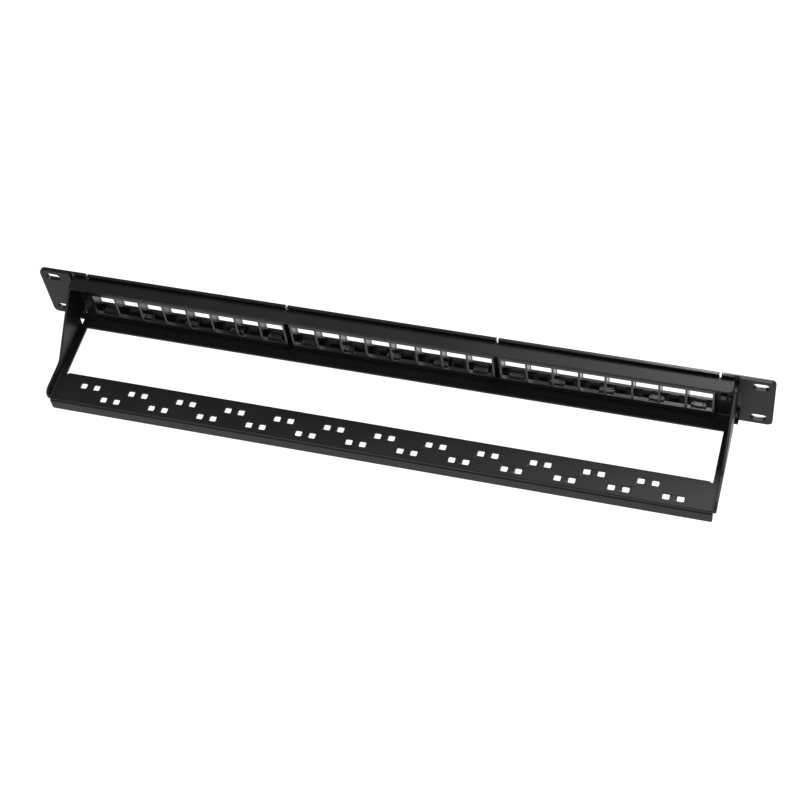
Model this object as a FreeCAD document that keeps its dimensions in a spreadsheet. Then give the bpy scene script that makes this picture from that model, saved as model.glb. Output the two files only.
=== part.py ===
import FreeCAD, Part
import math
import os

import Sketcher

# Rack patch panel with 24 empty snap-in ports and a removable rear cable tray.
# Frame: millimetres, +Z up, the front faces -Y. X = 0 is mid-width, Y = 0 is the rear
# face of the rack ears and Z = 0 is mid-height of the panel.

Vector = FreeCAD.Vector

# alias, value in mm (or a count), what it is
DIMENSIONS = [
    ("panel_width", 482.6, "over both rack ears"),
    ("panel_height", 44.0, "one rack unit less its gap"),
    ("sheet", 1.5, "steel sheet thickness, panel and tray"),
    ("bend_outside", 2.0, "outside radius of a bend"),
    ("bend_inside", 0.6, "inside radius of a bend"),
    ("ear_corner", 3.5, "corner radius of the ears"),
    ("slot_spacing_x", 465.1, "rack screw slots, centre to centre"),
    ("slot_spacing_z", 31.75, "rack screw slots, centre to centre"),
    ("slot_length", 10.7, "rack screw slot, end to end"),
    ("slot_width", 6.3, "rack screw slot"),
    ("channel_half_width", 216.6, "mid-width to the end of the folded flanges"),
    ("channel_half_height", 19.8, "outer face of the flanges above mid-height"),
    ("top_flange_depth", 9.7, "behind the ears"),
    ("bottom_flange_depth", 12.0, "behind the ears"),
    ("flange_corner", 2.5, "rear corner radius of the flanges"),
    ("ear_start", 219.5, "mid-width to the full-height part of an ear"),
    ("relief_depth", 4.6, "bend relief between flange and ear"),
    ("root_tab_end", 221.0, "mid-width to the end of the lower root tab"),
    ("root_tab_depth", 5.0, "lower root tab behind the ears"),
    ("root_tab_join", 3.0, "lower root tab, into the flange"),
    ("tab_slot_inside", 1.15, "ear slot, inward from the middle of the tab's sheet"),
    ("tab_slot_outside", 2.9, "ear slot, outward from the middle of the tab's sheet"),
    ("tab_slot_play", 0.2, "play above and below the tab"),
    ("latch_slot_half", 2.25, "latch slot in the lower flange, half its width"),
    ("latch_slot_front", 4.9, "front edge of a latch slot"),
    ("latch_slot_back", 6.7, "rear edge of a latch slot"),
    ("latch_slot_shift", 0.7, "latch slot, inward from the middle of the tongue"),
    ("module_pitch", 138.4, "between the three groups of ports"),
    ("module_gap", 1.3, "slit between neighbouring front mouldings"),
    ("window_width", 135.6, "opening in the sheet for one group"),
    ("window_height", 29.6, "opening in the sheet for one group"),
    ("port_count", 8.0, "ports in one group"),
    ("port_pitch", 16.7, "between ports"),
    ("port_width", 14.9, "front opening of a port"),
    ("port_low", 7.4, "front opening of a port, below mid-height"),
    ("port_high", 8.15, "front opening of a port, above mid-height"),
    ("cell_width", 15.3, "cell behind the front opening"),
    ("cell_low", 10.0, "cell behind the front opening, below mid-height"),
    ("cell_high", 8.8, "cell behind the front opening, above mid-height"),
    ("sump", 2.2, "deeper floor of a cell, in front of its rail"),
    ("rail_front", 2.7, "front edge of the rail behind the deeper floor"),
    ("face_front", -3.3, "front face of the mouldings"),
    ("face_back", -1.55, "back of the mouldings, on the sheet"),
    ("rim_back", -0.5, "rear edge of the rim over the flanges"),
    ("rim_thickness", 2.0, "rim above and below the flanges"),
    ("rim_round", 1.6, "front rounding of the rim"),
    ("trim_round", 1.2, "front rounding of an ear trim"),
    ("trim_slot_play", 0.3, "ear trim's slots around the rack slots"),
    ("collar_play", 0.3, "collar inside the window of the sheet"),
    ("hook_side", 3.6, "ear trim's snap hook, width and height"),
    ("hook_x", 210.75, "snap hook, from mid-width"),
    ("hook_z", 1.1, "snap hook, above mid-height"),
    ("hook_end", 1.9, "snap hook, behind the sheet"),
    ("hook_barb", 0.6, "barb of the snap hook"),
    ("peg_width", 1.9, "ear trim's locating peg"),
    ("peg_height", 4.4, "ear trim's locating peg"),
    ("peg_x", 214.9, "locating peg, from mid-width"),
    ("peg_z", -0.4, "locating peg, above mid-height"),
    ("peg_end", 1.2, "locating peg, behind the sheet"),
    ("peg_play", 0.2, "play of hook and peg in the sheet"),
    ("frame_half_width", 67.5, "port frame, mid to end"),
    ("frame_half_height", 14.3, "port frame, mid to top"),
    ("frame_front", 0.05, "port frame, against the sheet"),
    ("frame_back", 5.2, "rear face of the port frame"),
    ("groove", 1.1, "groove along the rear face of a rail"),
    ("groove_wall", 1.0, "between the groove and the cells"),
    ("rail_round", 0.5, "rounding of the rails' rear edges"),
    ("ridge_inset", 1.5, "ridge web, short of the ridge's ends"),
    ("ridge_join", 0.5, "ridge web, into the frame"),
    ("ridge_step", 0.2, "ridge, before the frame's rear face"),
    ("ridge_half_width", 64.0, "outer ridge of the port frame"),
    ("ridge_low", 15.6, "outer ridge, near side"),
    ("ridge_high", 17.5, "outer ridge, far side"),
    ("ridge_web_back", 3.4, "web that carries the outer ridge"),
    ("clip_outer", 57.55, "outer snap clips, from the middle of a group"),
    ("clip_inner", 31.4, "inner snap clips, from the middle of a group"),
    ("clip_width", 4.1, "snap finger"),
    ("clip_back", 3.4, "rear end of a snap finger"),
    ("clip_pocket", 10.4, "pocket for one clip in the port frame"),
    ("finger", 0.7, "thickness of a snap finger"),
    ("tall_fin", 4.3, "tall fin, from the middle of a clip"),
    ("short_fin", 2.9, "short fin, from the middle of a clip"),
    ("fin", 0.9, "thickness of a fin"),
    ("pocket_start", 8.0, "clip pocket, from mid-height, inside the cell"),
    ("bar_drop", 1.1, "end bar of a clip, below the cell's floor level"),
    ("bar_depth", 1.3, "end bar of a clip, front to back"),
    ("hook_rise", 0.9, "hook of a clip, above the cell's floor level"),
    ("hook_depth", 1.4, "hook of a clip, front to back"),
    ("hook_play", 0.2, "play around a hook in its catch"),
    ("tall_fin_rise", 1.75, "front end of a tall fin, above the finger"),
    ("short_fin_rise", 1.3, "front end of a short fin, above the finger"),
    ("short_fin_front", 0.6, "front end of a short fin"),
    ("catch_width", 6.2, "ledge that a jack hooks on"),
    ("catch_rise", 0.3, "rear height of that ledge"),
    ("catch_front", 0.5, "front of its slope behind the sheet face"),
    ("overlap", 0.1, "overlap of features that join"),
    ("label_half_width", 65.5, "label recess"),
    ("label_low", 10.6, "label recess, lower edge"),
    ("label_high", 19.6, "label recess, upper edge"),
    ("label_floor", -2.4, "floor of the label recess"),
    ("card_edge", 1.0, "card inside the recess, each end"),
    ("card_front", 0.25, "card's front before the recess floor"),
    ("card_back", 0.05, "card's back before the recess floor"),
    ("cover_edge", 0.15, "cover inside the recess, each end"),
    ("cover_front", 0.95, "cover's front before the recess floor"),
    ("cover_back", 0.3, "cover's back before the recess floor"),
    ("thumb_half_width", 4.0, "thumb notch in the cover"),
    ("thumb_depth", 1.2, "thumb notch in the cover"),
    ("trim_start", 208.25, "mid-width to the inner end of an ear trim"),
    ("tray_half_width", 218.9, "mid-width to the outside of a tray wall"),
    ("tray_top", -20.0, "upper face of the tray"),
    ("tongue_play", 1.5, "tray behind the end of the lower flange"),
    ("arm_notch", 1.6, "notch at the inner corner of arm and bar"),
    ("arm_notch_depth", 0.8, "the same notch, front to back"),
    ("bar_front", 48.9, "front edge of the tray bar"),
    ("bar_back", 71.6, "rear face of the tray lip"),
    ("arm_inside", 213.3, "inner edge of a tray arm"),
    ("arm_front", 8.8, "front end of a tray arm"),
    ("wall_top", -14.0, "low side wall of the tray"),
    ("wall_back", 70.0, "rear end of a side wall"),
    ("gusset_foot", 45.5, "where the side wall starts to rise"),
    ("gusset_back", 7.0, "rear of the gusset's top"),
    ("gusset_top", 16.5, "top of the gusset"),
    ("gusset_front", 0.3, "front edge of the gusset"),
    ("gusset_bottom", -13.0, "lower front edge of the gusset"),
    ("tab_front", -1.4, "front end of the tab in the ear slot"),
    ("tab_low", -12.0, "lower end of the tab"),
    ("tab_high", 8.0, "upper end of the tab"),
    ("lip_bottom", -29.5, "lower edge of the rear lip"),
    ("lip_half_width", 216.8, "rear lip, mid to end"),
    ("lip_chamfer", 1.0, "lower corners of the rear lip"),
    ("wall_end_round", 4.0, "rear upper corner of a side wall"),
    ("foot_round", 8.0, "inner corner where the wall rises"),
    ("gusset_round", 3.0, "upper corner of a gusset"),
    ("tongue_inside", 207.4, "inner edge of the tongue under the flange"),
    ("tongue_outside", 215.8, "outer edge of the tongue under the flange"),
    ("tongue_front", 3.5, "front end of the tongue"),
    ("tie_hole", 4.4, "square cable-tie hole"),
    ("tie_corner", 0.8, "corner radius of a tie hole"),
    ("tie_gap", 9.0, "between the two holes of a pair"),
    ("tie_pitch", 33.5, "between pairs in one row"),
    ("tie_count", 12.0, "pairs in one row"),
    ("tie_middle", 0.8, "middle of the tie holes, beside mid-width"),
    ("tie_front_row", 56.7, "front row of tie holes"),
    ("tie_back_row", 64.7, "rear row of tie holes"),
]


class Dim:
    """A length with its number and the sheet expression that gives it."""

    def __init__(self, text, value):
        self.text = text
        self.value = value

    def _join(self, sign, other, value):
        return Dim("(%s %s %s)" % (self.text, sign, as_dim(other).text), value)

    def __add__(self, other):
        return self._join("+", other, self.value + as_dim(other).value)

    def __sub__(self, other):
        return self._join("-", other, self.value - as_dim(other).value)

    def __mul__(self, other):
        return self._join("*", other, self.value * as_dim(other).value)

    def __truediv__(self, other):
        return self._join("/", other, self.value / as_dim(other).value)

    def __rsub__(self, other):
        return as_dim(other) - self

    def __neg__(self):
        return Dim("(0 - %s)" % self.text, -self.value)


def as_dim(number):
    """Turn a plain number into a Dim; a Dim stays as it is."""
    if isinstance(number, Dim):
        return number
    return Dim("(%.6f)" % number, float(number))


def make_sheet(doc):
    """Fill the spreadsheet and return its aliases as Dims."""
    sheet = doc.addObject("Spreadsheet::Sheet", "Dims")
    dims = {}
    for row, (alias, value, note) in enumerate(DIMENSIONS, start=1):
        sheet.set("A%d" % row, note)
        sheet.set("B%d" % row, str(value))
        sheet.setAlias("B%d" % row, alias)
        dims[alias] = Dim("Dims.%s" % alias, value)
    doc.recompute()
    return dims


def new_body(doc, label):
    """Add an empty body whose label names its file."""
    body = doc.addObject("PartDesign::Body", label)
    body.Label = label
    return body


def origin_feature(body, role):
    """Find an origin plane or axis of a body by its role."""
    return next(item for item in body.Origin.OriginFeatures if item.Role == role)


def bind_point(sketch, geometry, end, point):
    """Tie one end of a sketch element to two expressions."""
    for kind, size in (("DistanceX", point[0]), ("DistanceY", point[1])):
        index = sketch.addConstraint(
            Sketcher.Constraint(kind, -1, 1, geometry, end, size.value)
        )
        sketch.setExpression("Constraints[%d]" % index, size.text)


def polygon(points):
    """A closed outline through the given points."""
    def draw(sketch):
        corners = [(as_dim(x), as_dim(y)) for x, y in points]
        first = sketch.GeometryCount
        count = len(corners)
        for number in range(count):
            here = corners[number]
            after = corners[(number + 1) % count]
            start = Vector(here[0].value, here[1].value, 0)
            end = Vector(after[0].value, after[1].value, 0)
            sketch.addGeometry(Part.LineSegment(start, end))
        for number in range(count):
            follower = first + (number + 1) % count
            sketch.addConstraint(Sketcher.Constraint("Coincident", first + number, 2, follower, 1))
        for number in range(count):
            bind_point(sketch, first + number, 1, corners[number])
    return draw


def rectangle(left, low, right, high):
    """A rectangle given by its sides."""
    return polygon([(left, low), (right, low), (right, high), (left, high)])


def block(middle, half_width, low, high):
    """A rectangle given by its middle line and half width."""
    return rectangle(middle - half_width, low, middle + half_width, high)


def rounded_square(x, y, side, radius):
    """A square hole with rounded corners."""
    def draw(sketch):
        first = sketch.GeometryCount
        reach = side / 2 - radius
        quarter = math.pi / 2
        axis = Vector(0, 0, 1)
        turns = [(1, 1), (-1, 1), (-1, -1), (1, -1)]
        middles = [(x + reach * a, y + reach * b) for a, b in turns]
        for number, (across, along) in enumerate(middles):
            centre = Vector(across.value, along.value, 0)
            start = quarter * number
            sketch.addGeometry(
                Part.ArcOfCircle(Part.Circle(centre, axis, radius.value), start, start + quarter)
            )
        for number in range(4):
            arc = sketch.Geometry[first + number]
            after = sketch.Geometry[first + (number + 1) % 4]
            sketch.addGeometry(Part.LineSegment(arc.EndPoint, after.StartPoint))
        for number in range(4):
            line = first + 4 + number
            after = first + (number + 1) % 4
            sketch.addConstraint(Sketcher.Constraint("Tangent", line, 1, first + number, 2))
            sketch.addConstraint(Sketcher.Constraint("Tangent", line, 2, after, 1))
            bind_point(sketch, first + number, 3, middles[number])
        index = sketch.addConstraint(Sketcher.Constraint("Radius", first, radius.value))
        sketch.setExpression("Constraints[%d]" % index, radius.text)
    return draw


def obround(x, y, length, width):
    """A slot with round ends, along the sketch's first axis."""
    def draw(sketch):
        first = sketch.GeometryCount
        radius = width / 2
        reach = (length - width) / 2
        left = Vector((x - reach).value, y.value, 0)
        right = Vector((x + reach).value, y.value, 0)
        up = Vector(0, radius.value, 0)
        axis = Vector(0, 0, 1)
        quarter = math.pi / 2
        sketch.addGeometry(Part.LineSegment(left - up, right - up))
        sketch.addGeometry(Part.ArcOfCircle(Part.Circle(right, axis, radius.value), -quarter, quarter))
        sketch.addGeometry(Part.LineSegment(right + up, left + up))
        sketch.addGeometry(Part.ArcOfCircle(Part.Circle(left, axis, radius.value), quarter, 3 * quarter))
        for line, arc, line_end, arc_end in ((0, 1, 2, 1), (2, 1, 1, 2), (2, 3, 2, 1), (0, 3, 1, 2)):
            sketch.addConstraint(
                Sketcher.Constraint("Tangent", first + line, line_end, first + arc, arc_end)
            )
        bind_point(sketch, first + 1, 3, (x + reach, y))
        bind_point(sketch, first + 3, 3, (x - reach, y))
        index = sketch.addConstraint(Sketcher.Constraint("Radius", first + 1, radius.value))
        sketch.setExpression("Constraints[%d]" % index, radius.text)
    return draw


PLANES = {"x": "YZ_Plane", "y": "XZ_Plane", "z": "XY_Plane"}


def prism(body, name, axis, low, high, outlines, cut=False):
    """Pad or pocket outlines along an axis between two heights."""
    low = as_dim(low)
    high = as_dim(high)
    sketch = body.newObject("Sketcher::SketchObject", name + "_outline")
    sketch.AttachmentSupport = (origin_feature(body, PLANES[axis]), "")
    sketch.MapMode = "FlatFace"
    # the XZ plane looks along -Y, so its outline starts at the far side
    start = -high if axis == "y" else low
    sketch.setExpression(".AttachmentOffset.Base.z", start.text)
    for draw in outlines:
        draw(sketch)
    feature = body.newObject("PartDesign::Pocket" if cut else "PartDesign::Pad", name)
    feature.Profile = sketch
    feature.Type = 0
    feature.Reversed = cut
    feature.setExpression("Length", (high - low).text)
    before = body.Shape.Volume if cut else 0.0
    body.Document.recompute()
    if cut and before - body.Shape.Volume < 1e-3:
        raise RuntimeError("%s of %s removes nothing" % (name, body.Label))
    return feature


def repeat(body, name, originals, count, pitch):
    """Repeat features along +X."""
    pattern = body.newObject("PartDesign::LinearPattern", name)
    pattern.Originals = originals
    pattern.Direction = (origin_feature(body, "X_Axis"), [""])
    pattern.setExpression("Occurrences", count.text)
    pattern.setExpression("Length", (pitch * (count - 1)).text)
    body.Tip = pattern
    body.Document.recompute()
    return pattern


def mirror(body, name, originals, role):
    """Mirror features in an origin plane."""
    mirrored = body.newObject("PartDesign::Mirrored", name)
    mirrored.Originals = originals
    mirrored.MirrorPlane = (origin_feature(body, role), [""])
    body.Tip = mirrored
    body.Document.recompute()
    return mirrored


def edge_names(body, direction, places):
    """Names of the straight edges along an axis that pass through the places."""
    others = [index for index in range(3) if index != direction]
    names = []
    for number, edge in enumerate(body.Shape.Edges, start=1):
        if not isinstance(edge.Curve, Part.Line):
            continue
        if abs(edge.tangentAt(edge.FirstParameter)[direction]) < 0.999:
            continue
        middle = edge.CenterOfMass
        for place in places:
            offset = [abs(middle[index] - place[index]) for index in others]
            if max(offset) < 0.01:
                names.append("Edge%d" % number)
    return names


def soften(body, name, kind, radius, direction, places):
    """Fillet or chamfer the edges along an axis at the given places."""
    base = body.Tip
    places = [Vector(*[as_dim(value).value for value in place]) for place in places]
    names = edge_names(body, direction, places)
    if len(names) < len(places):
        raise RuntimeError("%s of %s: %d edges found" % (name, body.Label, len(names)))
    feature = body.newObject("PartDesign::" + kind, name)
    feature.Base = (base, names)
    feature.setExpression("Radius" if kind == "Fillet" else "Size", as_dim(radius).text)
    body.Document.recompute()
    return feature


def make_rack_panel(doc, d):
    """The folded steel panel: face with three windows, two flanges, two ears."""
    body = new_body(doc, "rack_panel")
    half_w = d["panel_width"] / 2
    half_h = d["panel_height"] / 2
    end = d["channel_half_width"]
    top = d["channel_half_height"]
    ear = d["ear_start"]
    relief = top - d["relief_depth"]
    sheet = d["sheet"]
    quarter = [(half_w, half_h), (ear, half_h), (ear, relief), (end, relief), (end, top)]
    upper = quarter + [(-x, z) for x, z in reversed(quarter)]
    lower = [(x, -z) for x, z in reversed(upper)]
    prism(body, "face", "y", -sheet, 0, [polygon(upper + lower)])
    prism(body, "top_flange", "z", top - sheet, top,
          [rectangle(-end, -sheet, end, d["top_flange_depth"])])
    prism(body, "bottom_flange", "z", -top, sheet - top,
          [rectangle(-end, -sheet, end, d["bottom_flange_depth"])])
    sides = (-1, 1)
    soften(body, "outer_bends", "Fillet", d["bend_outside"], 0,
           [(0, -sheet, top * side) for side in sides])
    soften(body, "inner_bends", "Fillet", d["bend_inside"], 0,
           [(0, 0, (top - sheet) * side) for side in sides])
    soften(body, "flange_corners", "Fillet", d["flange_corner"], 2,
           [(end * a, y, 0) for a in sides for y in (d["top_flange_depth"], d["bottom_flange_depth"])])
    tab = d["root_tab_end"]
    near = d["bend_outside"] - sheet + d["overlap"]
    depth = d["root_tab_depth"]
    inside = end - d["root_tab_join"]
    prism(body, "root_tabs", "z", -top, sheet - top,
          [rectangle(inside, near, tab, depth), rectangle(-tab, near, -inside, depth)])
    windows = [block(d["module_pitch"] * step, d["window_width"] / 2,
                     -d["window_height"] / 2, d["window_height"] / 2) for step in (-1, 0, 1)]
    prism(body, "windows", "y", -sheet, 0, windows, cut=True)
    slots = [obround(d["slot_spacing_x"] / 2 * side, d["slot_spacing_z"] / 2 * level,
                     d["slot_length"], d["slot_width"]) for side in (-1, 1) for level in (-1, 1)]
    prism(body, "rack_slots", "y", -sheet, 0, slots, cut=True)
    wall = d["tray_half_width"] - sheet / 2
    low = d["tab_low"] - d["tab_slot_play"]
    high = d["tab_high"] + d["tab_slot_play"]
    slot_in = wall - d["tab_slot_inside"]
    slot_out = wall + d["tab_slot_outside"]
    tray_slots = [rectangle(slot_in, low, slot_out, high), rectangle(-slot_out, low, -slot_in, high)]
    prism(body, "tray_slots", "y", -sheet, 0, tray_slots, cut=True)
    play = d["peg_play"]
    hook = d["hook_side"] / 2 + play
    peg = d["peg_height"] / 2 + play
    trim_holes = []
    for side in (-1, 1):
        trim_holes.append(block(d["hook_x"] * side, hook, d["hook_z"] - hook,
                                d["hook_z"] + hook + d["hook_barb"]))
        trim_holes.append(block(d["peg_x"] * side, d["peg_width"] / 2 + play,
                                d["peg_z"] - peg, d["peg_z"] + peg))
    prism(body, "trim_holes", "y", -sheet, 0, trim_holes, cut=True)
    tongue = (d["tongue_inside"] + d["tongue_outside"]) / 2 - d["latch_slot_shift"]
    latch_slots = [block(tongue * side, d["latch_slot_half"], d["latch_slot_front"],
                         d["latch_slot_back"]) for side in (-1, 1)]
    prism(body, "latch_slots", "z", -top, sheet - top, latch_slots, cut=True)
    soften(body, "ear_corners", "Fillet", d["ear_corner"], 1,
           [(half_w * a, 0, half_h * b) for a in sides for b in sides])
    return body


def make_port_frame(doc, d, label, step):
    """The rear moulding of one group: eight cells, two grooved rails, two ridges."""
    body = new_body(doc, label)
    half_w = d["frame_half_width"]
    half_h = d["frame_half_height"]
    front = d["frame_front"]
    back = d["frame_back"]
    cell = d["cell_low"]
    prism(body, "ring", "y", front, back, [rectangle(-half_w, -half_h, half_w, half_h)])
    ridge = d["ridge_half_width"]
    web = both_sides(as_dim(0), ridge - d["ridge_inset"], half_h - d["ridge_join"], d["ridge_high"])
    prism(body, "ridge_webs", "y", front, d["ridge_web_back"], web)
    prism(body, "ridges", "y", front, back - d["ridge_step"],
          both_sides(as_dim(0), ridge, d["ridge_low"], d["ridge_high"]))
    first = -d["port_pitch"] * (d["port_count"] - 1) / 2
    cut = prism(body, "first_cell", "y", front, back,
                [block(first, d["cell_width"] / 2, -cell, d["cell_high"])], cut=True)
    sump = prism(body, "first_sump", "y", front, d["rail_front"],
                 [block(first, d["cell_width"] / 2, -cell - d["sump"], -cell)], cut=True)
    repeat(body, "cells", [cut, sump], d["port_count"], d["port_pitch"])
    groove_low = cell + d["groove_wall"] + d["groove"] / 2
    prism(body, "grooves", "y", back - d["groove"], back,
          both_sides(as_dim(0), half_w + d["overlap"], groove_low, groove_low + d["groove"]), cut=True)
    pocket = d["clip_pocket"] / 2
    pockets = []
    holes = []
    catch = d["clip_width"] / 2 + d["hook_play"]
    for x in clip_places(d):
        pockets += both_sides(x, pocket, d["pocket_start"], cell)
        holes += both_sides(x, catch, cell, cell + d["hook_rise"] + d["hook_play"])
    play = d["hook_play"]
    prism(body, "clip_pockets", "y", front, d["clip_back"] + play, pockets, cut=True)
    prism(body, "clip_catches", "y", d["clip_back"] - d["hook_depth"] - play,
          d["clip_back"] + play, holes, cut=True)
    soften(body, "rail_edges", "Fillet", d["rail_round"], 0, [(0, back, half_h * side) for side in (-1, 1)])
    body.setExpression("Placement.Base.x", (d["module_pitch"] * step).text)
    return body


def clip_places(d):
    """Where the five snap clips of a group stand, from its middle."""
    return [d["clip_outer"] * -1, d["clip_inner"] * -1, as_dim(0), d["clip_inner"], d["clip_outer"]]


def both_sides(x, half_width, low, high):
    """The same block above mid-height and, mirrored, below it."""
    return [block(x, half_width, low, high), block(x, half_width, -high, -low)]


def add_clips(body, d):
    """Snap clips above and below: finger, end bar, hook and four sloping fins each."""
    floor = d["cell_low"] - d["overlap"] / 2
    back = d["clip_back"]
    wide = d["clip_width"] / 2
    near = floor - d["finger"]
    join = near + d["overlap"]
    tall_end = floor - d["tall_fin_rise"]
    short_end = floor - d["short_fin_rise"]
    fingers = []
    bars = []
    hooks = []
    tall_fins = []
    short_fins = []
    for x in clip_places(d):
        fingers += both_sides(x, d["tall_fin"] + d["fin"] / 2, near, floor)
        bars += both_sides(x, wide, floor - d["bar_drop"], join)
        hooks += both_sides(x, wide, floor - d["overlap"], floor + d["hook_rise"])
        for hand in (-1, 1):
            tall_fins += both_sides(x + d["tall_fin"] * hand, d["fin"] / 2, tall_end, join)
            short_fins += both_sides(x + d["short_fin"] * hand, d["fin"] / 2, short_end, join)
    fin_back = back - d["overlap"] * 2
    bar_front = back - d["bar_depth"]
    prism(body, "fingers", "y", d["face_back"] - d["overlap"], back, fingers)
    prism(body, "bars", "y", bar_front, back, bars)
    prism(body, "hooks", "y", back - d["hook_depth"], back, hooks)
    prism(body, "tall_fins", "y", d["face_back"] - d["overlap"], fin_back, tall_fins)
    prism(body, "short_fins", "y", d["short_fin_front"], fin_back, short_fins)
    slope = [(d["overlap"], d["pocket_start"]), (d["overlap"], tall_end),
             (bar_front, near - d["overlap"] * 2), (bar_front, d["pocket_start"])]
    reach = d["frame_half_width"]
    prism(body, "fin_slopes", "x", -reach, reach,
          [polygon(slope), polygon([(y, -as_dim(z)) for y, z in reversed(slope)])], cut=True)


def make_front_bezel(doc, d, label, step):
    """The front moulding of one group: face, rims, collar and snap clips."""
    body = new_body(doc, label)
    half_w = (d["module_pitch"] - d["module_gap"]) / 2
    half_h = d["panel_height"] / 2
    front = d["face_front"]
    back = d["face_back"]
    rim = half_h - d["rim_thickness"]
    collar_w = d["frame_half_width"]
    collar_h = d["window_height"] / 2 - d["collar_play"]
    over = d["overlap"]
    prism(body, "face", "y", front, back, [rectangle(-half_w, -half_h, half_w, half_h)])
    prism(body, "rims", "y", back - over, d["rim_back"], both_sides(as_dim(0), half_w, rim, half_h))
    prism(body, "collar", "y", back - over, 0, [rectangle(-collar_w, -collar_h, collar_w, collar_h)])
    first = -d["port_pitch"] * (d["port_count"] - 1) / 2
    cell = prism(body, "first_cell", "y", back, 0,
                 [block(first, d["cell_width"] / 2, -d["cell_low"] - d["sump"], d["cell_high"])],
                 cut=True)
    opening = prism(body, "first_port", "y", front, back,
                    [block(first, d["port_width"] / 2, -d["port_low"], d["port_high"])], cut=True)
    repeat(body, "ports", [cell, opening], d["port_count"], d["port_pitch"])
    prism(body, "label_recess", "y", front, d["label_floor"],
          [block(as_dim(0), d["label_half_width"], d["label_low"], d["label_high"])], cut=True)
    ledge = -d["cell_low"]
    lip = -d["port_low"] - over * 2
    wedge = prism(body, "first_catch", "x", first - d["catch_width"] / 2, first + d["catch_width"] / 2,
                  [polygon([(back - over, ledge - over), (0, ledge - over), (0, ledge + d["catch_rise"]),
                            (back + d["catch_front"], lip), (back - over, lip)])])
    repeat(body, "catches", [wedge], d["port_count"], d["port_pitch"])
    add_clips(body, d)
    soften(body, "rim_rounds", "Fillet", d["rim_round"], 0,
           [(0, front, half_h * side) for side in (-1, 1)])
    body.setExpression("Placement.Base.x", (d["module_pitch"] * step).text)
    return body


def make_label(doc, d, word, step):
    """A printed card and the clear cover over it, in the recess above the ports."""
    middle = d["module_pitch"] * step
    pieces = []
    for kind in ("card", "cover"):
        body = new_body(doc, "label_%s_%s" % (kind, word))
        edge = d[kind + "_edge"]
        half_w = d["label_half_width"] - edge
        front = d["label_floor"] - d[kind + "_front"]
        back = d["label_floor"] - d[kind + "_back"]
        prism(body, "strip", "y", front, back,
              [block(as_dim(0), half_w, d["label_low"] + edge / 2, d["label_high"] - edge / 2)])
        if kind == "cover":
            notch = block(as_dim(0), d["thumb_half_width"], d["label_low"],
                          d["label_low"] + d["thumb_depth"])
            prism(body, "thumb_notch", "y", front, back, [notch], cut=True)
        body.setExpression("Placement.Base.x", middle.text)
        pieces.append(body)
    return pieces


def make_end_trim(doc, d, word, side):
    """The moulded trim over one rack ear."""
    body = new_body(doc, "end_trim_" + word)
    inner = d["trim_start"]
    outer = d["panel_width"] / 2
    half_h = d["panel_height"] / 2
    front = d["face_front"]
    back = d["face_back"]
    rim = half_h - d["rim_thickness"]

    def box(low_x, high_x, low_z, high_z):
        if side > 0:
            return rectangle(low_x, low_z, high_x, high_z)
        return rectangle(-high_x, low_z, -low_x, high_z)

    prism(body, "face", "y", front, back, [box(inner, outer, -half_h, half_h)])
    rim_end = d["channel_half_width"]
    prism(body, "rims", "y", back - d["overlap"], d["rim_back"],
          [box(inner, rim_end, rim, half_h), box(inner, rim_end, -half_h, -rim)])
    hook = d["hook_side"] / 2
    hook_top = d["hook_z"] + hook
    hook_in = d["hook_x"] - hook
    hook_out = d["hook_x"] + hook
    peg = d["peg_width"] / 2
    peg_half = d["peg_height"] / 2
    prism(body, "hook", "y", back - d["overlap"], d["hook_end"],
          [box(hook_in, hook_out, d["hook_z"] - hook, hook_top)])
    prism(body, "barb", "y", d["peg_play"], d["hook_end"],
          [box(hook_in, hook_out, hook_top - d["overlap"], hook_top + d["hook_barb"])])
    prism(body, "peg", "y", back - d["overlap"], d["peg_end"],
          [box(d["peg_x"] - peg, d["peg_x"] + peg, d["peg_z"] - peg_half, d["peg_z"] + peg_half)])
    play = d["trim_slot_play"]
    slots = [obround(d["slot_spacing_x"] / 2 * side, d["slot_spacing_z"] / 2 * level,
                     d["slot_length"] + play, d["slot_width"] + play) for level in (-1, 1)]
    prism(body, "rack_slots", "y", front, back, slots, cut=True)
    soften(body, "outer_corners", "Fillet", d["ear_corner"], 1,
           [(outer * side, 0, half_h * level) for level in (-1, 1)])
    soften(body, "rim_rounds", "Fillet", d["trim_round"], 0,
           [(0, front, half_h * level) for level in (-1, 1)])
    return body


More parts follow.
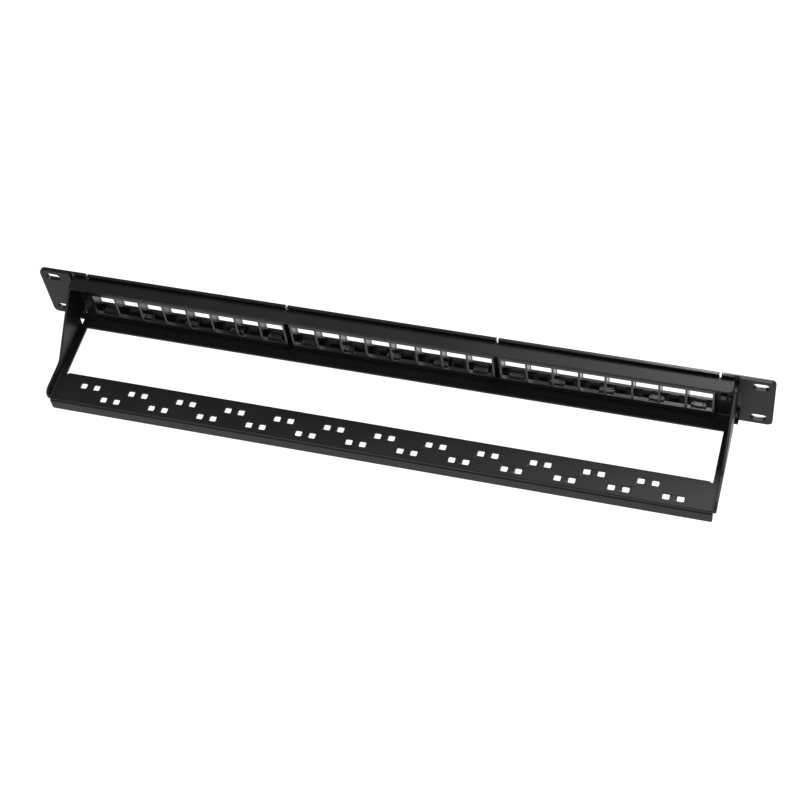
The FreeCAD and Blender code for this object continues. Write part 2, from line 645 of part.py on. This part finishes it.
def make_cable_tray(doc, d):
    """The folded steel tray: bar with tie holes, two arms, side walls and a rear lip."""
    body = new_body(doc, "cable_tray")
    sheet = d["sheet"]
    top = d["tray_top"]
    wide = d["tray_half_width"]
    arm = d["arm_inside"]
    bar = d["bar_front"]
    under = d["bottom_flange_depth"] - d["tongue_play"]
    notch = arm - d["arm_notch"]
    corner = bar + d["arm_notch_depth"]
    half = [(wide, d["bar_back"] - sheet), (wide, d["arm_front"]), (d["tongue_outside"], d["arm_front"]),
            (d["tongue_outside"], d["tongue_front"]), (d["tongue_inside"], d["tongue_front"]),
            (d["tongue_inside"], under), (arm, under), (arm, corner), (notch, corner), (notch, bar)]
    outline = half + [(-x, y) for x, y in reversed(half)]
    prism(body, "plate", "z", top - sheet, top, [polygon(outline)])
    lip = d["lip_half_width"]
    bevel = d["lip_chamfer"]
    low = d["lip_bottom"]
    prism(body, "lip", "y", d["bar_back"] - sheet, d["bar_back"],
          [polygon([(-lip, top), (-lip, low + bevel), (bevel - lip, low), (lip - bevel, low),
                    (lip, low + bevel), (lip, top)])])
    profile = [(d["wall_back"], top - sheet), (d["wall_back"], d["wall_top"]),
               (d["gusset_foot"], d["wall_top"]), (d["gusset_back"], d["gusset_top"]),
               (d["gusset_front"], d["gusset_top"]), (d["gusset_front"], d["tab_high"]),
               (d["tab_front"], d["tab_high"]), (d["tab_front"], d["tab_low"]),
               (d["gusset_front"], d["tab_low"]), (d["gusset_front"], d["gusset_bottom"]),
               (d["arm_front"], d["gusset_bottom"]), (d["arm_front"], top - sheet)]
    wall = prism(body, "side_wall", "x", wide - sheet, wide, [polygon(profile)])
    mirror(body, "other_side_wall", [wall], "YZ_Plane")
    first = d["tie_middle"] - d["tie_pitch"] * (d["tie_count"] - 1) / 2
    shift = d["tie_pitch"] / 4
    holes = []
    for offset, row in ((shift, d["tie_front_row"]), (-shift, d["tie_back_row"])):
        for hand in (-1, 1):
            middle = first + offset + d["tie_gap"] / 2 * hand
            holes.append(rounded_square(middle, row, d["tie_hole"], d["tie_corner"]))
    pair = prism(body, "first_ties", "z", top - sheet, top, holes, cut=True)
    repeat(body, "ties", [pair], d["tie_count"], d["tie_pitch"])
    sides = (-1, 1)
    soften(body, "lip_bend", "Fillet", d["bend_outside"], 0, [(0, d["bar_back"], top)])
    soften(body, "wall_bends", "Fillet", d["bend_outside"], 1, [(wide * s, 0, top - sheet) for s in sides])
    soften(body, "inner_bends", "Fillet", d["bend_inside"], 1, [((wide - sheet) * s, 0, top) for s in sides])
    soften(body, "wall_ends", "Fillet", d["wall_end_round"], 0,
           [((wide - sheet / 2) * s, d["wall_back"], d["wall_top"]) for s in sides])
    soften(body, "gusset_feet", "Fillet", d["foot_round"], 0,
           [((wide - sheet / 2) * s, d["gusset_foot"], d["wall_top"]) for s in sides])
    soften(body, "gusset_tops", "Fillet", d["gusset_round"], 0,
           [((wide - sheet / 2) * s, d["gusset_back"], d["gusset_top"]) for s in sides])
    return body


def check(doc, bodies):
    """Stop if any feature failed or any shape is unusable."""
    for item in doc.Objects:
        if "Invalid" in item.State or "Error" in item.State:
            raise RuntimeError("%s (%s) failed: %s" % (item.Name, item.Label, item.State))
    for body in bodies:
        shape = body.Shape
        if shape.isNull() or not shape.isValid():
            raise RuntimeError("%s has no valid shape" % body.Label)
        if len(shape.Solids) != 1:
            raise RuntimeError("%s has %d solids" % (body.Label, len(shape.Solids)))


def main():
    """Build every sub-part and write one STEP file for each."""
    doc = FreeCAD.newDocument("PatchPanel")
    d = make_sheet(doc)
    bodies = [make_rack_panel(doc, d)]
    for word, step in (("left", -1), ("centre", 0), ("right", 1)):
        bodies.append(make_port_frame(doc, d, "port_frame_" + word, step))
        bodies.append(make_front_bezel(doc, d, "front_bezel_" + word, step))
        bodies += make_label(doc, d, word, step)
    for word, side in (("left", -1), ("right", 1)):
        bodies.append(make_end_trim(doc, d, word, side))
    bodies.append(make_cable_tray(doc, d))
    doc.recompute()
    check(doc, bodies)
    os.makedirs("parts", exist_ok=True)
    for body in bodies:
        body.Shape.exportStep("parts/%s.step" % body.Label)
        box = body.Shape.BoundBox
        print("%-22s %9.1f mm3  X %.1f..%.1f  Y %.1f..%.1f  Z %.1f..%.1f" % (
            body.Label, body.Shape.Volume, box.XMin, box.XMax, box.YMin, box.YMax, box.ZMin, box.ZMax))


main()
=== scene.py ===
import logging
import math
from dataclasses import dataclass
from enum import Enum
from typing import Any

import bpy
from mathutils import Matrix, Vector


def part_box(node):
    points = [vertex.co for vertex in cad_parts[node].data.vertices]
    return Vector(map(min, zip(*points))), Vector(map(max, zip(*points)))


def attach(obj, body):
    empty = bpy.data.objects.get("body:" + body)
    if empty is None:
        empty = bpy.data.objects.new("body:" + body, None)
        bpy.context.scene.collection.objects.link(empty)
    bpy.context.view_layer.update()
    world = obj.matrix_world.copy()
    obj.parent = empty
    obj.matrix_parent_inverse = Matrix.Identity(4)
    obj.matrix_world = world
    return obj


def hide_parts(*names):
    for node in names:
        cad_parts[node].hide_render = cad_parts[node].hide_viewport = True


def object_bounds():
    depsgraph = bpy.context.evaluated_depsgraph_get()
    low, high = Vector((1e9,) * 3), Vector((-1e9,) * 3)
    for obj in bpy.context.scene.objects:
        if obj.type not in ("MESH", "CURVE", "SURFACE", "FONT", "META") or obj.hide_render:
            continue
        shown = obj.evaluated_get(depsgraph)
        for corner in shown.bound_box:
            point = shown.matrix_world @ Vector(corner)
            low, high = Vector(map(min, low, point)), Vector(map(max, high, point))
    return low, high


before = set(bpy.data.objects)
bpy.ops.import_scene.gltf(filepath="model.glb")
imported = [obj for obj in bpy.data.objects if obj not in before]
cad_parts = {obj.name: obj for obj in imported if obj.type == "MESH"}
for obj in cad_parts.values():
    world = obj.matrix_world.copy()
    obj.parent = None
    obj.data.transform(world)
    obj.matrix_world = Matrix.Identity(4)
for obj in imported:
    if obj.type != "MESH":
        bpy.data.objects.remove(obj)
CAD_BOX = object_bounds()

MM = 0.001
LOG = logging.getLogger("patch_panel")
# Points of the CAD mesh closer than this are one point.
WELD_MM = 0.002
# Edges sharper than this are eased, and faces that meet more flatly than the other shade smooth.
EASED_EDGE_DEG = 40
SMOOTH_EDGE_DEG = 32
# A weight of 100 lets the largest face decide a corner's normal.
LARGEST_FACE_WEIGHT = 100


class Side(Enum):
    """The three banks of ports, with the step of each from the middle."""

    LEFT = -1
    CENTRE = 0
    RIGHT = 1

    @property
    def word(self) -> str:
        """The word that ends the names of this bank's pieces."""
        return self.name.lower()


class Body(Enum):
    """The rigid bodies that pieces ride on."""

    PANEL = "panel"
    TRAY = "tray"


class Slot(Enum):
    """The record's material slots."""

    STEEL = "powder_coated_steel"
    PLASTIC = "black_moulded_plastic"
    CARD = "label_card"
    CLEAR = "clear_plastic"


def linear(colour: str) -> tuple[float, float, float, float]:
    """Turns an sRGB hex colour to the linear values that a shader takes.

    Args:
        colour: Six hex digits after a hash mark.

    Returns:
        Red, green, blue and an alpha of one.
    """
    channels = [int(colour[i:i + 2], 16) / 255 for i in (1, 3, 5)]
    lit = [c / 12.92 if c <= 0.04045 else ((c + 0.055) / 1.055) ** 2.4 for c in channels]
    return (lit[0], lit[1], lit[2], 1.0)


def per_metre(size_mm: float) -> float:
    """The scale of a pattern on Object coordinates whose features are this many millimetres."""
    return 1 / (size_mm * MM)


def add(tree: bpy.types.NodeTree, kind: str, settings: dict[str, Any] | None = None,
        values: dict[str | int, Any] | None = None,
        links: dict[str | int, bpy.types.NodeSocket] | None = None) -> bpy.types.Node:
    """Adds one shader node.

    Args:
        tree: The material's node tree.
        kind: The node's type, without its ShaderNode prefix.
        settings: Attributes of the node.
        values: Unlinked inputs, by name or place.
        links: Outputs of other nodes that feed this one's inputs.

    Returns:
        The new node.
    """
    made = tree.nodes.new("ShaderNode" + kind)
    for name, value in (settings or {}).items():
        setattr(made, name, value)
    for name, value in (values or {}).items():
        made.inputs[name].default_value = value
    for name, socket in (links or {}).items():
        tree.links.new(socket, made.inputs[name])
    return made


def blank(name: str) -> tuple[bpy.types.Material, bpy.types.NodeTree, bpy.types.NodeSocket]:
    """Starts a material with no nodes but its Object coordinates.

    Args:
        name: The material's name.

    Returns:
        The material, its tree and the Object coordinate output.
    """
    made = bpy.data.materials.new(name)
    made.use_nodes = True
    tree = made.node_tree
    tree.nodes.clear()
    place = add(tree, "TexCoord").outputs["Object"]
    return made, tree, place


def finish_surface(tree: bpy.types.NodeTree, shader: bpy.types.Node) -> None:
    """Joins a shader to the material's output."""
    add(tree, "OutputMaterial", links={"Surface": shader.outputs[0]})


@dataclass(frozen=True)
class PowderCoat:
    """Cold-rolled steel, bent and then sprayed with a black polyester powder that is baked on.

    The cured coat is satin, with a faint orange peel and a fine grain of unmelted powder, so a soft
    light spreads over it in a broad grey sheen.
    """

    name: str = "satin_black_powder_coat"
    coat: str = "#0e0e0f"
    mottle: str = "#131314"
    dust: str = "#202021"
    roughness: float = 0.40
    roughness_spread: float = 0.07
    ior: float = 1.5
    specular: float = 0.2
    peel_mm: float = 1.6
    peel_height_mm: float = 0.012
    # The real grain is near 0.1 mm, drawn coarser so that it shows.
    grain_mm: float = 0.45
    grain_height_mm: float = 0.004
    mottle_mm: float = 38.0
    mottle_from: float = 0.35
    mottle_to: float = 0.68
    dust_from: float = 0.66
    dust_to: float = 0.74
    dust_strength: float = 0.35

    def build(self) -> bpy.types.Material:
        """Makes the material."""
        made, tree, place = blank(self.name)
        cloud = add(tree, "TexNoise", values={"Scale": per_metre(self.mottle_mm), "Detail": 3.0},
                    links={"Vector": place})
        peel = add(tree, "TexNoise", values={"Scale": per_metre(self.peel_mm), "Detail": 2.0},
                   links={"Vector": place})
        grain = add(tree, "TexNoise", values={"Scale": per_metre(self.grain_mm), "Detail": 1.0},
                    links={"Vector": place})
        base = add(tree, "ValToRGB", links={"Fac": cloud.outputs[0]})
        base.color_ramp.elements[0].position = self.mottle_from
        base.color_ramp.elements[0].color = linear(self.coat)
        base.color_ramp.elements[1].position = self.mottle_to
        base.color_ramp.elements[1].color = linear(self.mottle)
        specks = add(tree, "ValToRGB", links={"Fac": grain.outputs[0]})
        specks.color_ramp.elements[0].position = self.dust_from
        specks.color_ramp.elements[0].color = (0, 0, 0, 1)
        specks.color_ramp.elements[1].position = self.dust_to
        specks.color_ramp.elements[1].color = (self.dust_strength,) * 3 + (1,)
        colour = add(tree, "Mix", settings={"data_type": "RGBA"},
                     values={7: linear(self.dust)},
                     links={0: specks.outputs[0], 6: base.outputs[0]})
        rough = add(tree, "MapRange", values={"To Min": self.roughness - self.roughness_spread,
                                              "To Max": self.roughness + self.roughness_spread},
                    links={"Value": cloud.outputs[0]})
        orange_peel = add(tree, "Bump", values={"Distance": self.peel_height_mm * MM, "Strength": 1.0},
                          links={"Height": peel.outputs[0]})
        powder = add(tree, "Bump", values={"Distance": self.grain_height_mm * MM, "Strength": 1.0},
                     links={"Height": grain.outputs[0], "Normal": orange_peel.outputs[0]})
        shader = add(tree, "BsdfPrincipled",
                     values={"IOR": self.ior, "Specular IOR Level": self.specular},
                     links={"Base Color": colour.outputs[2], "Roughness": rough.outputs[0],
                            "Normal": powder.outputs[0]})
        finish_surface(tree, shader)
        return made


@dataclass(frozen=True)
class MouldedAbs:
    """Black ABS, injection moulded in a tool that was polished and then lightly spark eroded.

    It is glossier than the steel's coat, with slow flow waves, so it mirrors a lamp as a soft streak.
    """

    name: str = "moulded_black_abs"
    resin: str = "#080809"
    flow: str = "#0c0c0d"
    roughness: float = 0.24
    roughness_spread: float = 0.06
    ior: float = 1.54
    specular: float = 0.36
    # The resin flows along the banks, so its waves are stretched that way.
    flow_stretch: tuple[float, float, float] = (0.35, 1.0, 1.0)
    flow_mm: float = 9.0
    flow_height_mm: float = 0.01
    # Spark erosion leaves pits near 0.05 mm, drawn coarser so that they show.
    pit_mm: float = 0.35
    pit_height_mm: float = 0.003

    def build(self) -> bpy.types.Material:
        """Makes the material."""
        made, tree, place = blank(self.name)
        stretched = add(tree, "Mapping", values={"Scale": self.flow_stretch},
                        links={"Vector": place})
        waves = add(tree, "TexNoise", values={"Scale": per_metre(self.flow_mm), "Detail": 2.0},
                    links={"Vector": stretched.outputs[0]})
        pits = add(tree, "TexVoronoi", values={"Scale": per_metre(self.pit_mm)},
                   links={"Vector": place})
        colour = add(tree, "ValToRGB", links={"Fac": waves.outputs[0]})
        colour.color_ramp.elements[0].color = linear(self.resin)
        colour.color_ramp.elements[1].color = linear(self.flow)
        rough = add(tree, "MapRange", values={"To Min": self.roughness - self.roughness_spread,
                                              "To Max": self.roughness + self.roughness_spread},
                    links={"Value": waves.outputs[0]})
        flowed = add(tree, "Bump", values={"Distance": self.flow_height_mm * MM, "Strength": 1.0},
                     links={"Height": waves.outputs[0]})
        pitted = add(tree, "Bump", values={"Distance": self.pit_height_mm * MM, "Strength": 1.0},
                     links={"Height": pits.outputs[0], "Normal": flowed.outputs[0]})
        shader = add(tree, "BsdfPrincipled",
                     values={"IOR": self.ior, "Specular IOR Level": self.specular},
                     links={"Base Color": colour.outputs[0], "Roughness": rough.outputs[0],
                            "Normal": pitted.outputs[0]})
        finish_surface(tree, shader)
        return made


@dataclass(frozen=True)
class LabelCard:
    """Uncoated white card, cut to a strip: dull, with a fine felt of fibres."""

    name: str = "uncoated_label_card"
    sheet: str = "#e8e7e1"
    fibre: str = "#d6d4cc"
    fibre_mm: float = 0.6
    fibre_stretch: tuple[float, float, float] = (0.3, 1.0, 1.0)
    sheet_from: float = 0.6
    roughness_low: float = 0.78
    roughness_high: float = 0.92
    fibre_height_mm: float = 0.01

    def build(self) -> bpy.types.Material:
        """Makes the material."""
        made, tree, place = blank(self.name)
        combed = add(tree, "Mapping", values={"Scale": self.fibre_stretch},
                     links={"Vector": place})
        felt = add(tree, "TexNoise", values={"Scale": per_metre(self.fibre_mm), "Detail": 4.0},
                   links={"Vector": combed.outputs[0]})
        colour = add(tree, "ValToRGB", links={"Fac": felt.outputs[0]})
        colour.color_ramp.elements[0].color = linear(self.fibre)
        colour.color_ramp.elements[1].position = self.sheet_from
        colour.color_ramp.elements[1].color = linear(self.sheet)
        rough = add(tree, "MapRange", values={"To Min": self.roughness_low, "To Max": self.roughness_high},
                    links={"Value": felt.outputs[0]})
        bump = add(tree, "Bump", values={"Distance": self.fibre_height_mm * MM},
                   links={"Height": felt.outputs[0]})
        shader = add(tree, "BsdfPrincipled",
                     links={"Base Color": colour.outputs[0], "Roughness": rough.outputs[0],
                            "Normal": bump.outputs[0]})
        finish_surface(tree, shader)
        return made


@dataclass(frozen=True)
class ClearCover:
    """Clear polycarbonate, moulded thin: it passes light and mirrors lamps, with a faint ripple."""

    name: str = "clear_polycarbonate"
    tint: str = "#f1f5f5"
    roughness: float = 0.05
    roughness_growth: float = 2.4
    ior: float = 1.58
    ripple_mm: float = 14.0
    ripple_height_mm: float = 0.02

    def build(self) -> bpy.types.Material:
        """Makes the material."""
        made, tree, place = blank(self.name)
        ripple = add(tree, "TexNoise", values={"Scale": per_metre(self.ripple_mm), "Detail": 1.0},
                     links={"Vector": place})
        rough = add(tree, "MapRange",
                    values={"To Min": self.roughness, "To Max": self.roughness * self.roughness_growth},
                    links={"Value": ripple.outputs[0]})
        bump = add(tree, "Bump", values={"Distance": self.ripple_height_mm * MM},
                   links={"Height": ripple.outputs[0]})
        shader = add(tree, "BsdfPrincipled",
                     values={"Base Color": linear(self.tint), "IOR": self.ior,
                             "Transmission Weight": 1.0},
                     links={"Roughness": rough.outputs[0], "Normal": bump.outputs[0]})
        finish_surface(tree, shader)
        return made


@dataclass(frozen=True)
class PrintedInk:
    """Dark grey ink printed on the cards: flat, with a slight unevenness of the print."""

    name: str = "printed_grey_ink"
    ink: str = "#3c3e42"
    thin: str = "#55585d"
    blot_mm: float = 0.7
    roughness: float = 0.7

    def build(self) -> bpy.types.Material:
        """Makes the material."""
        made, tree, place = blank(self.name)
        blots = add(tree, "TexNoise", values={"Scale": per_metre(self.blot_mm), "Detail": 2.0},
                    links={"Vector": place})
        colour = add(tree, "ValToRGB", links={"Fac": blots.outputs[0]})
        colour.color_ramp.elements[0].color = linear(self.ink)
        colour.color_ramp.elements[1].color = linear(self.thin)
        shader = add(tree, "BsdfPrincipled", values={"Roughness": self.roughness},
                     links={"Base Color": colour.outputs[0]})
        finish_surface(tree, shader)
        return made


@dataclass(frozen=True)
class PaleFloor:
    """A studio table of matt white laminate."""

    name: str = "matt_white_table"
    top: str = "#fafafa"
    cloud: str = "#f5f5f5"
    cloud_mm: float = 240.0
    roughness: float = 0.85
    specular: float = 0.1

    def build(self) -> bpy.types.Material:
        """Makes the material."""
        made, tree, place = blank(self.name)
        drift = add(tree, "TexNoise", values={"Scale": per_metre(self.cloud_mm), "Detail": 2.0},
                    links={"Vector": place})
        colour = add(tree, "ValToRGB", links={"Fac": drift.outputs[0]})
        colour.color_ramp.elements[0].color = linear(self.cloud)
        colour.color_ramp.elements[1].color = linear(self.top)
        shader = add(tree, "BsdfPrincipled",
                     values={"Roughness": self.roughness, "Specular IOR Level": self.specular},
                     links={"Base Color": colour.outputs[0]})
        finish_surface(tree, shader)
        return made


def only(piece: bpy.types.Object) -> None:
    """Makes one object the only one selected and the active one."""
    bpy.ops.object.select_all(action="DESELECT")
    piece.select_set(True)
    bpy.context.view_layer.objects.active = piece


def dress(piece: bpy.types.Object, material: bpy.types.Material, body: Body) -> None:
    """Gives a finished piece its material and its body.

    Args:
        piece: The object, with its place in its mesh.
        material: The finish.
        body: The body that it rides on.
    """
    piece.data.materials.clear()
    piece.data.materials.append(material)
    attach(piece, body.value)
    LOG.info("%s: %d faces", piece.name, len(piece.data.polygons))


def eased_copy(name: str, node: str, ease_mm: float, segments: int = 2) -> bpy.types.Object:
    """Copies a CAD node and eases its sharp edges, as a coat of powder or a worn mould does.

    Args:
        name: The new piece's name.
        node: The CAD node that it stands for.
        ease_mm: The width of the eased edge.
        segments: The number of faces across it.

    Returns:
        The new piece, which replaces the node.
    """
    piece = bpy.data.objects.new(name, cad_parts[node].data.copy())
    bpy.context.scene.collection.objects.link(piece)
    only(piece)
    bpy.ops.object.mode_set(mode="EDIT")
    bpy.ops.mesh.select_all(action="SELECT")
    bpy.ops.mesh.remove_doubles(threshold=WELD_MM * MM)
    bpy.ops.object.mode_set(mode="OBJECT")
    bevel = piece.modifiers.new("ease", "BEVEL")
    bevel.width = ease_mm * MM
    bevel.segments = segments
    bevel.limit_method = "ANGLE"
    bevel.angle_limit = math.radians(EASED_EDGE_DEG)
    bevel.use_clamp_overlap = True
    evened = piece.modifiers.new("even", "WEIGHTED_NORMAL")
    evened.weight = LARGEST_FACE_WEIGHT
    evened.keep_sharp = True
    only(piece)
    bpy.ops.object.modifier_apply(modifier="ease")
    bpy.ops.object.shade_smooth_by_angle(angle=math.radians(SMOOTH_EDGE_DEG))
    bpy.ops.object.modifier_apply(modifier="even")
    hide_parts(node)
    return piece


@dataclass
class RackPanel:
    """The folded steel panel with its rack ears."""

    ease_mm: float = 0.28

    def build(self, coat: bpy.types.Material) -> None:
        """Makes the panel and dresses it."""
        panel = eased_copy("panel_sheet", "rack_panel", self.ease_mm)
        dress(panel, coat, Body.PANEL)


@dataclass
class CableTray:
    """The folded steel tray that holds the cables behind the ports."""

    ease_mm: float = 0.28

    def build(self, coat: bpy.types.Material) -> None:
        """Makes the tray and dresses it."""
        tray = eased_copy("tray_sheet", "cable_tray", self.ease_mm)
        dress(tray, coat, Body.TRAY)


@dataclass
class PortBank:
    """One bank of ports: the frame behind, the bezel in front, and the label with its cover."""

    side: Side
    ports: int = 8
    frame_ease_mm: float = 0.22
    bezel_ease_mm: float = 0.16
    cover_ease_mm: float = 0.18
    port_pitch_mm: float = 16.7
    digit_height_mm: float = 3.4
    # A digit is this part of the lettering's full size.
    digit_share: float = 0.72
    digit_curve_steps: int = 3
    ink_thickness_mm: float = 0.04
    ink_gap_mm: float = 0.01

    def build(self, abs_plastic: bpy.types.Material, card: bpy.types.Material,
              clear: bpy.types.Material, ink: bpy.types.Material) -> None:
        """Makes the bank's pieces and dresses them.

        Args:
            abs_plastic: The finish of the mouldings.
            card: The finish of the label card.
            clear: The finish of the cover.
            ink: The finish of the numbers.
        """
        word = self.side.word
        rear = eased_copy("ports_rear_" + word, "port_frame_" + word, self.frame_ease_mm)
        dress(rear, abs_plastic, Body.PANEL)
        front = eased_copy("ports_front_" + word, "front_bezel_" + word, self.bezel_ease_mm)
        dress(front, abs_plastic, Body.PANEL)
        cover = eased_copy("cover_" + word, "label_cover_" + word, self.cover_ease_mm)
        dress(cover, clear, Body.PANEL)
        card_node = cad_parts["label_card_" + word]
        card_node.data.materials.clear()
        card_node.data.materials.append(card)
        self.print_numbers(ink)

    def print_numbers(self, ink: bpy.types.Material) -> None:
        """Prints the port numbers on the card, as thin flat pieces joined into one."""
        low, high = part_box("label_card_" + self.side.word)
        middle = (low + high) / 2
        digits = []
        for place in range(self.ports):
            number = (self.side.value + 1) * self.ports + place + 1
            shift = (place - (self.ports - 1) / 2) * self.port_pitch_mm * MM
            spot = Vector((middle.x + shift, low.y - self.ink_gap_mm * MM, middle.z))
            digits.append(self.print_one(str(number), spot))
        only(digits[0])
        for digit in digits[1:]:
            digit.select_set(True)
        bpy.ops.object.join()
        printed = bpy.context.view_layer.objects.active
        printed.name = "numbers_" + self.side.word
        dress(printed, ink, Body.PANEL)

    def print_one(self, text: str, spot: Vector) -> bpy.types.Object:
        """Makes one number.

        Args:
            text: The number's digits.
            spot: The middle of its back face.

        Returns:
            The number as a mesh, with its place in its mesh.
        """
        bpy.ops.object.select_all(action="DESELECT")
        bpy.ops.object.text_add(location=spot, rotation=(math.radians(90), 0, 0))
        digit = bpy.context.view_layer.objects.active
        digit.data.body = text
        digit.data.size = self.digit_height_mm * MM / self.digit_share
        digit.data.align_x = "CENTER"
        digit.data.align_y = "CENTER"
        digit.data.extrude = self.ink_thickness_mm * MM / 2
        digit.data.resolution_u = self.digit_curve_steps
        only(digit)
        bpy.ops.object.convert(target="MESH")
        digit = bpy.context.view_layer.objects.active
        digit.location.y -= self.ink_thickness_mm * MM / 2
        bpy.ops.object.transform_apply(location=True, rotation=True, scale=True)
        return digit


@dataclass
class EndTrims:
    """The two plastic trims over the fronts of the ears."""

    ease_mm: float = 0.3

    def build(self, abs_plastic: bpy.types.Material) -> None:
        """Makes both trims and dresses them."""
        for word in ("left", "right"):
            trim = eased_copy("ear_trim_" + word, "end_trim_" + word, self.ease_mm)
            dress(trim, abs_plastic, Body.PANEL)


@dataclass(frozen=True)
class Softbox:
    """A soft rectangular lamp: its centre, the point that it faces, its size and its power."""

    name: str
    place_mm: tuple[float, float, float]
    aim_mm: tuple[float, float, float]
    size_mm: tuple[float, float]
    watts: float

    def hang(self) -> None:
        """Hangs the lamp."""
        lamp = bpy.data.lights.new(self.name, "AREA")
        lamp.shape = "RECTANGLE"
        lamp.size = self.size_mm[0] * MM
        lamp.size_y = self.size_mm[1] * MM
        lamp.energy = self.watts
        hung = bpy.data.objects.new(self.name, lamp)
        bpy.context.scene.collection.objects.link(hung)
        place = Vector(self.place_mm) * MM
        hung.location = place
        hung.rotation_euler = (Vector(self.aim_mm) * MM - place).to_track_quat("-Z", "Y").to_euler()


@dataclass
class Studio:
    """The table, the lamps and the camera around the object."""

    eye_mm: tuple[float, float, float] = (-280.79, 650.40, 935.35)
    target_mm: tuple[float, float, float] = (-15.438, 40.564, 0.0)
    roll_deg: float = -10.1359
    lens_mm: float = 82.74
    nearest_mm: float = 50.0
    table_half_mm: float = 3500.0
    table_drop_mm: float = 380.0
    sky: str = "#ffffff"
    sky_strength: float = 0.31
    lamps: tuple[Softbox, ...] = (
        Softbox("front_softbox", (-360, -1060, 1020), (0, 0, 0), (640, 560), 27.0),
        Softbox("rear_overhead", (200, 1100, 1500), (0, 0, -300), (1400, 1000), 25.0),
    )

    def build(self) -> None:
        """Builds the table, the sky, the lamps and the camera."""
        self.lay_table()
        self.light_sky()
        for lamp in self.lamps:
            lamp.hang()
        self.place_camera()

    def lay_table(self) -> None:
        """Lays the table well below the object, which hangs as it does in a rack."""
        bpy.ops.object.select_all(action="DESELECT")
        height = CAD_BOX[0][2] - self.table_drop_mm * MM
        bpy.ops.mesh.primitive_plane_add(size=2 * self.table_half_mm * MM, location=(0, 0, height))
        table = bpy.context.view_layer.objects.active
        table.name = "table"
        bpy.ops.object.transform_apply(location=True, rotation=True, scale=True)
        table.data.materials.append(PaleFloor().build())

    def light_sky(self) -> None:
        """Sets an even pale sky."""
        world = bpy.data.worlds.new("studio_sky")
        world.use_nodes = True
        tree = world.node_tree
        tree.nodes.clear()
        glow = add(tree, "Background", values={"Color": linear(self.sky), "Strength": self.sky_strength})
        add(tree, "OutputWorld", links={"Surface": glow.outputs[0]})
        bpy.context.scene.world = world

    def place_camera(self) -> None:
        """Places the camera behind and above the panel, a little rolled."""
        lens = bpy.data.cameras.new("camera")
        lens.lens = self.lens_mm
        lens.clip_start = self.nearest_mm * MM
        held = bpy.data.objects.new("camera", lens)
        bpy.context.scene.collection.objects.link(held)
        eye = Vector(self.eye_mm) * MM
        ahead = (Vector(self.target_mm) * MM - eye).normalized()
        level = ahead.cross(Vector((0, 0, 1))).normalized()
        upward = level.cross(ahead)
        turn = math.radians(self.roll_deg)
        right = level * math.cos(turn) + upward * math.sin(turn)
        up = right.cross(ahead)
        axes = Matrix((right, up, -ahead)).transposed()
        held.matrix_world = Matrix.Translation(eye) @ axes.to_4x4()
        bpy.context.scene.camera = held


def main() -> None:
    """Builds every sub-assembly in order."""
    logging.basicConfig(level=logging.INFO, format="%(name)s %(message)s")
    coat = PowderCoat().build()
    abs_plastic = MouldedAbs().build()
    card = LabelCard().build()
    clear = ClearCover().build()
    ink = PrintedInk().build()
    RackPanel().build(coat)
    CableTray().build(coat)
    for side in Side:
        PortBank(side).build(abs_plastic, card, clear, ink)
    EndTrims().build(abs_plastic)
    Studio().build()
    bpy.context.scene.view_settings.view_transform = "Standard"


if __name__ == "__main__":
    main()
